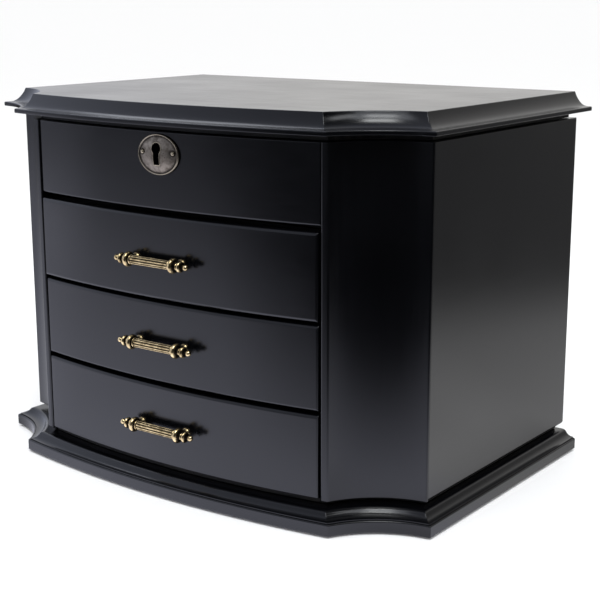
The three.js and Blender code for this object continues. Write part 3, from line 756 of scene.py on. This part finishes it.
def plate():
    key = keyhole_points(0.0, 40)
    segments = [(np.array(key[i]), np.array(key[(i + 1) % len(key)])) for i in range(len(key))]
    k0 = np.array([KEY["x"], 209.5])
    centre = np.array([PLATE["x"], PLATE["z"]])

    def hit_key(d):
        best = None
        for a, b in segments:
            m = np.array([[d[0], a[0] - b[0]], [d[1], a[1] - b[1]]])
            det = np.linalg.det(m)
            if abs(det) < 1e-9:
                continue
            t, u = np.linalg.solve(m, a - k0)
            if t > 0 and -1e-6 <= u <= 1 + 1e-6 and (best is None or t > best):
                best = t
        return best

    def hit_oval(d, share):
        q = (k0 - centre) / np.array([PLATE["a"], PLATE["b"]])
        e = d / np.array([PLATE["a"], PLATE["b"]])
        a, b, c = e @ e, 2 * q @ e, q @ q - share * share
        return (-b + math.sqrt(b * b - 4 * a * c)) / (2 * a)

    def key_distance(p):
        best = 1e9
        for a, b in segments:
            ab = b - a
            t = max(0, min(1, float((p - a) @ ab / (ab @ ab))))
            best = min(best, float(np.linalg.norm(p - a - ab * t)))
        return best

    angles = sorted({round(2 * math.pi * i / 112, 6) for i in range(112)} | {round(math.atan2(z - 209.5, x - KEY["x"]) % (2 * math.pi), 6) for x, z in key[-2:]})
    rings = []  # each ring: list of (x, z)
    inner_share = 0.80
    for off in (0.0, 0.1, 0.25, 0.42, 0.62, 0.85, 1.1):
        ring = []
        for a in angles:
            d = np.array([math.cos(a), math.sin(a)])
            ring.append(k0 + d * (hit_key(d) + off * 1.25))
        rings.append(ring)
    last = rings[-1]
    outer = [k0 + np.array([math.cos(a), math.sin(a)]) * hit_oval(np.array([math.cos(a), math.sin(a)]), inner_share) for a in angles]
    for i in range(1, 13):
        rings.append([last[k] * (1 - i / 12) + outer[k] * (i / 12) for k in range(len(angles))])
    for share in (0.825, 0.845, 0.862, 0.878, 0.895, 0.91, 0.925, 0.94, 0.955, 0.97, 0.985, 1.0):
        rings.append([centre + (outer[k] - centre) * share / inner_share for k in range(len(angles))])
    rng = np.random.default_rng(5)
    dents = [(rng.uniform(-11, 11), rng.uniform(-8, 8), rng.uniform(0.5, 1.4), rng.uniform(-0.05, 0.04)) for _ in range(46)]
    verts, recess, rub = [], [], []
    m = len(angles)
    for ring in rings:
        for p in ring:
            q = (p - centre) / np.array([PLATE["a"], PLATE["b"]])
            rho = float(np.linalg.norm(q))
            h, c = plate_height(rho), plate_recess(rho)
            dk = key_distance(p)
            lip = math.exp(-(((dk - 0.22) / 0.26) ** 2))
            h += 0.2 * lip
            c = max(c * (1 - lip), 0.3 * math.exp(-(((dk - 0.85) / 0.35) ** 2)))
            for px in pins_x:
                dp = math.hypot(p[0] - px, p[1] - PLATE["pin_z"])
                dip = math.exp(-((dp / 1.9) ** 4))
                h = h * (1 - dip) + min(h, 0.95) * dip
                c = max(c, 0.95 * math.exp(-(((dp - 1.5) / 0.45) ** 2)))
            if rho < 0.8:
                for ex, ez, w, a in dents:
                    h += a * math.exp(-(((p[0] - PLATE["x"] - ex) / w) ** 2 + ((p[1] - PLATE["z"] - ez) / w) ** 2))
            verts.append((p[0], plate_back - h, p[1]))
            recess.append(c)
            rub.append(max(0.9 * lip, 0.75 * math.exp(-(((rho * 12 - 11.6) / 0.28) ** 2))))
    # the back follows the front, 0.65 mm behind it, as in stamped sheet
    front = list(verts)
    for i in reversed(range(len(rings))):
        for k in range(m):
            x, y, z = front[i * m + k]
            verts.append((x, min(plate_back, y + 0.65), z))
            recess.append(0.9)
            rub.append(0.0)
    n = 2 * len(rings)
    faces = []
    for i in range(n):
        for k in range(m):
            j = (k + 1) % m
            a, b = i * m, (i + 1) % n * m
            faces.append((a + k, b + k, b + j, a + j))
    me = bpy.data.meshes.new("keyhole_plate")
    me.from_pydata([(x * MM, y * MM, q * MM) for x, y, q in verts], [], faces)
    layer = me.attributes.new("recess", "FLOAT", "POINT")
    layer.data.foreach_set("value", recess)
    layer = me.attributes.new("rub", "FLOAT", "POINT")
    layer.data.foreach_set("value", rub)
    bm = bmesh.new()
    bm.from_mesh(me)
    bmesh.ops.recalc_face_normals(bm, faces=bm.faces)
    bm.to_mesh(me)
    bm.free()
    return piece("keyhole_plate", me, rides("escutcheon"), PEWTER, ("escutcheon",), sharp=50, weighted=False)


plate()


def pin(name, x, node):
    prof = [(0.6, 6.6, 0.3), (0.6, -0.9, 0.8), (1.2, -0.92, 0.9), (1.28, -1.02, 0.5), (1.3, -1.2, 0.1), (1.24, -1.5, 0.0), (1.04, -1.8, 0.0), (0.74, -2.04, 0.0), (0.4, -2.17, 0.0), (0.0, -2.22, 0.0)]
    verts, recess, faces, n = [], [], [], 28
    for r, y, c in prof:
        for k in range(n):
            a = 2 * math.pi * k / n
            verts.append((x + r * math.cos(a), plate_back + y, PLATE["pin_z"] + r * math.sin(a)))
            recess.append(c)
    for i in range(len(prof) - 1):
        for k in range(n):
            j = (k + 1) % n
            faces.append((i * n + k, i * n + j, (i + 1) * n + j, (i + 1) * n + k))
    faces.append(tuple(range(n)))
    me = bpy.data.meshes.new(name)
    me.from_pydata([(a * MM, b * MM, c * MM) for a, b, c in verts], [], faces)
    layer = me.attributes.new("recess", "FLOAT", "POINT")
    layer.data.foreach_set("value", recess)
    layer = me.attributes.new("rub", "FLOAT", "POINT")
    layer.data.foreach_set("value", [0.8 if c == 0.0 else 0.0 for c in recess])
    bm = bmesh.new()
    bm.from_mesh(me)
    bmesh.ops.remove_doubles(bm, verts=bm.verts, dist=2e-6)
    bmesh.ops.recalc_face_normals(bm, faces=bm.faces)
    bm.to_mesh(me)
    bm.free()
    return piece(name, me, rides(node), PEWTER, (node,), sharp=50, weighted=False)


for side, x in zip(("left", "right"), pins_x):
    pin("plate_pin_" + side, x, "escutcheon_pin_" + side)


# ------------------------------------------------------------------ soft fittings of the top compartment
def cushion_roll(length, wide, tall, seed):
    """one long roll of the ring cushion, in metres round the origin: a crowned closed form with pinched ends"""
    rng = np.random.default_rng(seed)
    rings = []
    nx, na = 46, 36
    phase = rng.uniform(0, 6.28, 4)
    for i in range(nx + 1):
        u = -1 + 2 * i / nx
        end = (1 - abs(u) ** 9) ** 0.5 if abs(u) < 1 else 0.0
        ring = []
        for k in range(na):
            a = 2 * math.pi * k / na
            c, s = math.cos(a), math.sin(a)
            y = wide / 2 * math.copysign(abs(c) ** 0.8, c)
            z = tall / 2 * math.copysign(abs(s) ** (0.72 if s > 0 else 0.4), s)
            scale = 0.62 + 0.38 * end
            wob = 1 + 0.012 * math.sin(5 * u + phase[0]) + 0.01 * math.sin(11 * u + phase[1] + c)
            ring.append((u * length / 2, y * scale * wob, z * (0.72 + 0.28 * end) * wob))
        rings.append(ring)
    verts, faces = loft(rings)
    me = bpy.data.meshes.new("roll")
    me.from_pydata([(x * MM, y * MM, z * MM) for x, y, z in verts], [], faces)
    bm = bmesh.new()
    bm.from_mesh(me)
    bmesh.ops.recalc_face_normals(bm, faces=bm.faces)
    bm.to_mesh(me)
    bm.free()
    return me


def swell(me, cap, keep_flat_below):
    """Cloth with a little pressure, then the move is capped, flattened underneath and the result baked into the mesh"""
    ob = bpy.data.objects.new("swell", me)
    bpy.context.scene.collection.objects.link(ob)
    r = ob.modifiers.new("r", "REMESH")
    r.mode, r.voxel_size = "VOXEL", 3.2 * MM
    me = baked(ob)
    ob = bpy.data.objects.new("swell", me)
    bpy.context.scene.collection.objects.link(ob)
    rest = np.array([v.co for v in me.vertices], float)
    c = ob.modifiers.new("c", "CLOTH")
    st = c.settings
    st.quality = 5
    st.mass = 0.25
    st.use_pressure = True
    st.uniform_pressure_force = 4.0
    st.effector_weights.gravity = 0.0
    st.tension_stiffness = st.compression_stiffness = 18
    st.bending_stiffness = 0.6
    c.point_cache.frame_start, c.point_cache.frame_end = 1, 20
    scene = bpy.context.scene
    for f in range(1, 21):
        scene.frame_set(f)
    out = baked(ob)
    moved = np.array([v.co for v in out.vertices], float)
    d = moved - rest
    far = np.linalg.norm(d, axis=1, keepdims=True)
    d *= np.minimum(1.0, cap * MM / np.maximum(far, 1e-9))
    moved = rest + d
    moved[:, 2] = np.maximum(moved[:, 2], keep_flat_below * MM)
    out.vertices.foreach_set("co", moved.astype(np.float32).ravel())
    scene.frame_set(1)
    return out


lo, hi = node_box("ring_cushion")
pitch = (hi[1] - lo[1]) / 7
roll_len, roll_tall = hi[0] - lo[0] - 1.6, hi[2] - lo[2] - 1.4
variants = [swell(cushion_roll(roll_len, pitch - 1.5, roll_tall, 3 + i), 1.6, -roll_tall / 2) for i in range(2)]
for i in range(7):
    src = variants[i % 2]
    me = src.copy()
    co = np.array([v.co for v in me.vertices], float)
    if i % 4 >= 2:
        co[:, :2] *= -1
    # held to its own place between its neighbours, so that the rolls touch and never cross
    lo_c, hi_c = co.min(0), co.max(0)
    want_lo = np.array([lo[0] + 0.5, lo[1] + pitch * i + 0.08, lo[2] + 0.05]) * MM
    want_hi = np.array([hi[0] - 0.5, lo[1] + pitch * (i + 1) - 0.08, hi[2] - 0.1 - 0.35 * (i % 3)]) * MM
    co = want_lo + (co - lo_c) / (hi_c - lo_c) * (want_hi - want_lo)
    me.vertices.foreach_set("co", co.astype(np.float32).ravel())
    me.update()
    ob = piece(f"ring_roll_{i + 1}", me, rides("ring_cushion"), SUEDE, ("ring_cushion",), sharp=80, weighted=False)
    sub = ob.modifiers.new("finer", "SUBSURF")
    sub.levels = sub.render_levels = 1


def soft_board(node, edge, crown=0.0):
    """a covered board: the CAD node's own box with softly rounded edges"""
    lo, hi = node_box(node)
    bm = prism_bm([(lo[0], lo[1]), (hi[0], lo[1]), (hi[0], hi[1]), (lo[0], hi[1])], lo[2], hi[2])
    me = eased(bm, lambda mid, d, e: edge if mid.z > (lo[2] + hi[2]) / 2 or abs(d.z) > 0.9 else 0.2, edge, 5)
    return piece(node + "_covered", me, rides(node), SUEDE, (node,))


for node in ("divider_left", "divider_right", "divider_front", "divider_cross"):
    soft_board(node, 1.9)


def lining(node, seed):
    """suede glued over a board: the node's own outline, rolled edges, and a face that is never quite level"""
    src = frame["nodes"][node]
    lo, hi = node_box(node)
    seen = {}
    for v in src.data.vertices:
        q = src.matrix_world @ v.co * 1000
        seen.setdefault((round(q.x, 1), round(q.y, 1)), (q.x, q.y))
    cx, cy = (lo[0] + hi[0]) / 2, (lo[1] + hi[1]) / 2
    ring = sorted(seen.values(), key=lambda q: math.atan2(q[1] - cy, q[0] - cx))
    bm = prism_bm(ring, lo[2], hi[2])
    me = eased(bm, lambda mid, d, e: 0.75 if mid.z > (lo[2] + hi[2]) / 2 and abs(d.z) < 0.5 else 0.1, 0.75, 4)
    bm = bmesh.new()
    bm.from_mesh(me)
    for axis, step in ((0, 6.5), (1, 6.5)):
        count = int((hi[axis] - lo[axis]) / step)
        for i in range(1, count):
            co, no = Vector((0, 0, 0)), Vector((0, 0, 0))
            co[axis] = (lo[axis] + (hi[axis] - lo[axis]) * i / count) * MM
            no[axis] = 1.0
            bmesh.ops.bisect_plane(bm, geom=bm.verts[:] + bm.edges[:] + bm.faces[:], dist=1e-6, plane_co=co, plane_no=no)
    for v in bm.verts:
        if v.co.z > (hi[2] - 0.05) * MM:
            x, y = v.co.x * 1000, v.co.y * 1000
            wave = math.sin(x / 17 + seed) * math.cos(y / 13 - seed) + 0.6 * math.sin(x / 7.3 - y / 9.1 + 2 * seed)
            v.co.z -= (0.14 + 0.075 * wave) * MM
    bmesh.ops.recalc_face_normals(bm, faces=bm.faces)
    bm.to_mesh(me)
    bm.free()
    return piece(node + "_suede", me, rides(node), SUEDE, (node,), sharp=75, weighted=False)


# ------------------------------------------------------------------ CAD nodes that keep their shape
def keep(node, material, edge=None, segments=2):
    ob = frame["nodes"][node]
    ob.data.materials.clear()
    ob.data.materials.append(material)
    if edge:
        w = ob.modifiers.new("one_skin", "WELD")
        w.merge_threshold = 1e-6
        b = ob.modifiers.new("eased", "BEVEL")
        b.width, b.segments = edge * MM, segments
        b.limit_method, b.angle_limit = "ANGLE", math.radians(40)
        b.harden_normals = True
    return ob


for name in DRAWERS:
    keep(f"drawer_{name}_side_left", DRAWER_Y, 0.5)
    keep(f"drawer_{name}_side_right", DRAWER_Y, 0.5)
    keep(f"drawer_{name}_back", DRAWER_X, 0.5)
    keep(f"drawer_{name}_bottom", DRAWER_X, 0.2)
    lining(f"drawer_{name}_lining", len(name))
for node in ("inner_wall_left", "inner_wall_right"):
    keep(node, STAINED_Y, 0.3)
for node in ("bottom_board", "compartment_floor", "dust_panel_lower", "dust_panel_upper"):
    keep(node, STAINED_X, 0.25)
keep("spacer_board", STAINED_X, 0.2)
keep("lid_frame", STAINED_X, 0.35)
lining("compartment_lining", 2)
keep("lid_mirror", MIRROR, 0.6, 2)
for node in ("hinge_leaf_body_left", "hinge_leaf_body_right", "hinge_leaf_lid_left", "hinge_leaf_lid_right"):
    keep(node, PLATED_BRASS, 0.12)
keep("hinge_pin_left", PLATED_BRASS, 0.15)
keep("hinge_pin_right", PLATED_BRASS, 0.15)
keep("strike_hook", PLATED_BRASS, 0.2)
keep("lock_bolt", PLATED_BRASS, 0.25)
keep("lock_case", STEEL, 0.2)
for where in ("front_left", "front_right", "back_left", "back_right"):
    keep("foot_pad_" + where, PAD_FELT, 0.3)


# ------------------------------------------------------------------ floor, light, camera
def emission_plane(name, size, z):
    me = bpy.data.meshes.new(name)
    me.from_pydata([(-size, -size, z), (size, -size, z), (size, size, z), (-size, size, z)], [], [(0, 1, 2, 3)])
    ob = bpy.data.objects.new(name, me)
    bpy.context.scene.collection.objects.link(ob)
    return ob


floor = emission_plane("floor", 110.0, 0.0)
m = bpy.data.materials.new("pale_floor")
m.use_nodes = True
m.node_tree.nodes["Principled BSDF"].inputs["Base Color"].default_value = (0.93, 0.93, 0.93, 1)
m.node_tree.nodes["Principled BSDF"].inputs["Roughness"].default_value = 0.9
floor.data.materials.append(m)
floor.visible_glossy = False

# what the gloss sees of the table: bright near the chest, falling away to the front right and past its right edge
card = emission_plane("table_glow", 6.0, -0.0005)
card.visible_camera = card.visible_diffuse = card.visible_shadow = card.visible_transmission = False
g = Nodes("table_glow")
sep = g.t.nodes.new("ShaderNodeSeparateXYZ")
g.link(g.coord, sep.inputs["Vector"])
X, Y = sep.outputs["X"], sep.outputs["Y"]
west, south = g.math("MAXIMUM", g.math("MULTIPLY", X, -1.0), 0.0), g.math("MAXIMUM", g.math("MULTIPLY", Y, -1.0), 0.001)
front_right = g.math("ADD", g.math("ADD", g.math("MULTIPLY", g.math("MAXIMUM", X, 0.0), 0.6), g.math("MULTIPLY", west, -1.1)), g.math("MULTIPLY", Y, -0.8))
near = g.range(front_right, 1.0, 0.0, 0.18, 0.47)
right = g.math("MULTIPLY", g.range(g.math("ADD", X, g.math("MULTIPLY", Y, 0.5)), 1.0, 0.26, 0.52, 0.71), g.range(Y, 1.0, 0.68, -0.1, 0.1))
right = g.math("MULTIPLY", right, g.range(Y, 1.0, 0.7, 0.14, 0.5))
right = g.math("MULTIPLY", right, g.range(g.math("SUBTRACT", Y, g.math("MULTIPLY", g.math("MAXIMUM", X, 0.0), 0.8)), 1.0, 0.83, -0.05, 0.02))
# painted contact shadow: the glow is dimmed to 62% beside the chest's outline and recovers over about 55 mm
out_x = g.math("SUBTRACT", g.math("ABSOLUTE", X, 0.0), 0.168)
out_y = g.math("MAXIMUM", g.math("SUBTRACT", g.math("MULTIPLY", Y, -1.0), 0.07), g.math("SUBTRACT", Y, 0.114))
right = g.math("MULTIPLY", right, g.range(g.math("MAXIMUM", out_x, out_y), 0.62, 1.0, 0.0, 0.055))
side_x = g.math("MULTIPLY", west, 0.55)
far_front = g.math("ADD", g.math("MULTIPLY", side_x, side_x), g.math("MULTIPLY", south, south))
middle = g.math("DIVIDE", 1.45, g.math("ADD", 1.0, g.math("MULTIPLY", far_front, 2.0)))
far_left = g.math("ADD", g.math("MULTIPLY", west, west), g.math("MULTIPLY", south, south))
leftward = g.math("DIVIDE", 1.15, g.math("ADD", 1.0, g.math("MULTIPLY", far_left, 0.9)))
lift_left = g.math("MULTIPLY", g.range(g.math("DIVIDE", west, g.math("ADD", west, south)), 0.0, 0.8, 0.572, 0.635), g.range(far_left, 0.1, 1.0, 0.4, 1.0))
leftward = g.math("MULTIPLY", leftward, g.math("ADD", 1.0, g.math("MULTIPLY", lift_left, g.range(south, 0.0, 1.0, 0.25, 0.42))))
north = g.math("MULTIPLY", g.math("MAXIMUM", Y, 0.0), 0.8)
turn = g.range(g.math("DIVIDE", west, g.math("ADD", g.math("ADD", west, north), south)), 0.0, 1.0, 0.38, 0.56)
table = g.math("ADD", g.math("MULTIPLY", middle, g.math("SUBTRACT", 1.0, turn)), g.math("MULTIPLY", leftward, turn))
level = g.math("ADD", 0.006, g.math("MULTIPLY", g.math("MULTIPLY", near, right), g.math("MULTIPLY", table, 1.1)))
em = g.t.nodes.new("ShaderNodeEmission")
g.link(g.blend(g.range(Y, 0.0, 1.0, -0.12, 0.03), (0.925, 0.945, 1.13), (1.0, 1.0, 1.015)), em.inputs["Color"])
g.link(level, em.inputs["Strength"])
g.link(em.outputs[0], g.t.nodes["Material Output"].inputs["Surface"])
card.data.materials.append(g.mat)

world = bpy.data.worlds.new("studio")
bpy.context.scene.world = world
world.use_nodes = True
wt = world.node_tree
bg = wt.nodes["Background"]
path = wt.nodes.new("ShaderNodeLightPath")
geo = wt.nodes.new("ShaderNodeTexCoord")
sepw = wt.nodes.new("ShaderNodeSeparateXYZ")
wt.links.new(geo.outputs["Generated"], sepw.inputs[0])


def wmath(kind, a, b=0.0, c=None):
    n = wt.nodes.new("ShaderNodeMath")
    n.operation = kind
    for value, socket in zip((a, b, c), n.inputs):
        if value is None:
            continue
        if isinstance(value, (int, float)):
            socket.default_value = value
        else:
            wt.links.new(value, socket)
    return n.outputs[0]


# gloss sees a soft tent that is brightest behind and to the left of the chest and dark towards the front right
lift = wmath("MAXIMUM", sepw.outputs["Z"], 0.0)
tent = wmath("ADD", wmath("MULTIPLY_ADD", sepw.outputs["Y"], 0.35, 0.62), wmath("MULTIPLY", sepw.outputs["X"], -0.55))
fall = wmath("MINIMUM", wmath("MAXIMUM", wmath("MULTIPLY_ADD", sepw.outputs["X"], 2.5, 0.1), 0.0), 1.0)
tent = wmath("SUBTRACT", tent, wmath("MULTIPLY", fall, 0.34))
gloss = wmath("MULTIPLY", wmath("MINIMUM", wmath("MAXIMUM", tent, 0.03), 0.9), wmath("SUBTRACT", 1.08, wmath("MULTIPLY", lift, 0.42)))
strength = wmath("ADD", wmath("MULTIPLY", path.outputs["Is Glossy Ray"], gloss), wmath("MULTIPLY", wmath("SUBTRACT", 1.0, path.outputs["Is Glossy Ray"]), 1.1))
wt.links.new(strength, bg.inputs["Strength"])
tone = wt.nodes.new("ShaderNodeMapRange")
tone.inputs["From Min"].default_value, tone.inputs["From Max"].default_value = 0.25, 0.8
wt.links.new(sepw.outputs["Y"], tone.inputs["Value"])
cool = wt.nodes.new("ShaderNodeCombineColor")
for channel, side_tint, back_tint in (("Red", 0.90, 1.01), ("Green", 0.96, 1.0), ("Blue", 1.17, 0.985)):
    gloss_tint = wmath("MULTIPLY_ADD", tone.outputs["Result"], back_tint - side_tint, side_tint)
    wt.links.new(wmath("MULTIPLY_ADD", wmath("SUBTRACT", gloss_tint, 1.0), path.outputs["Is Glossy Ray"], 1.0), cool.inputs[channel])
wt.links.new(cool.outputs["Color"], bg.inputs["Color"])


def area(name, where, at, size, power, color=(1, 1, 1)):
    l = bpy.data.lights.new(name, "AREA")
    l.shape, l.size, l.size_y, l.energy, l.color = "RECTANGLE", size[0], size[1], power, color
    ob = bpy.data.objects.new(name, l)
    bpy.context.scene.collection.objects.link(ob)
    ob.location = where
    ob.rotation_euler = (Vector(at) - Vector(where)).to_track_quat("-Z", "Y").to_euler()
    return ob


area("softbox_top", (-0.75, 0.19, 1.155), (0, 0, 0.2), (0.7, 0.52), 2.6, (0.95, 0.98, 1.05))
area("softbox_camera", (0.55, -0.72, 1.25), (0, 0, 0.15), (1.05, 0.7), 4.6, (0.92, 0.96, 1.05))
area("softbox_core", (0.53, -0.66, 1.22), (0.05, -0.03, 0.15), (0.5, 0.2), 2.2, (0.98, 1.0, 1.0))
area("softbox_right", (1.0, -0.17, 1.28), (0.12, -0.08, 0.12), (0.5, 0.26), 1.3, (0.97, 0.99, 1.02))
area("softbox_key", (0.40, -0.42, 1.57), (0.12, -0.08, 0.15), (0.5, 0.24), 3.9, (0.98, 1.0, 0.99))

cam_data = bpy.data.cameras.new("camera")
cam = bpy.data.objects.new("camera", cam_data)
bpy.context.scene.collection.objects.link(cam)
yaw, pitch, roll = 0.6408989919, 0.2298554984, -0.0019483877
fwd = Vector((-math.sin(yaw) * math.cos(pitch), math.cos(yaw) * math.cos(pitch), -math.sin(pitch)))
right_v = Vector((math.cos(yaw), math.sin(yaw), 0))
up = right_v.cross(fwd)
r_axis = right_v * math.cos(roll) + up * math.sin(roll)
u_axis = up * math.cos(roll) - right_v * math.sin(roll)
m3 = Matrix((r_axis, u_axis, -fwd)).transposed()
cam.matrix_world = Matrix.Translation(Vector((519.70, -663.74, 297.90)) * MM) @ m3.to_4x4()
cam_data.sensor_width = 36
cam_data.lens = 1310.8145 * 36 / 600
cam_data.clip_start, cam_data.clip_end = 0.01, 400
bpy.context.scene.camera = cam
bpy.context.scene.view_settings.view_transform = "Standard"
bpy.context.scene.view_settings.look = "None"

bpy.context.view_layer.update()
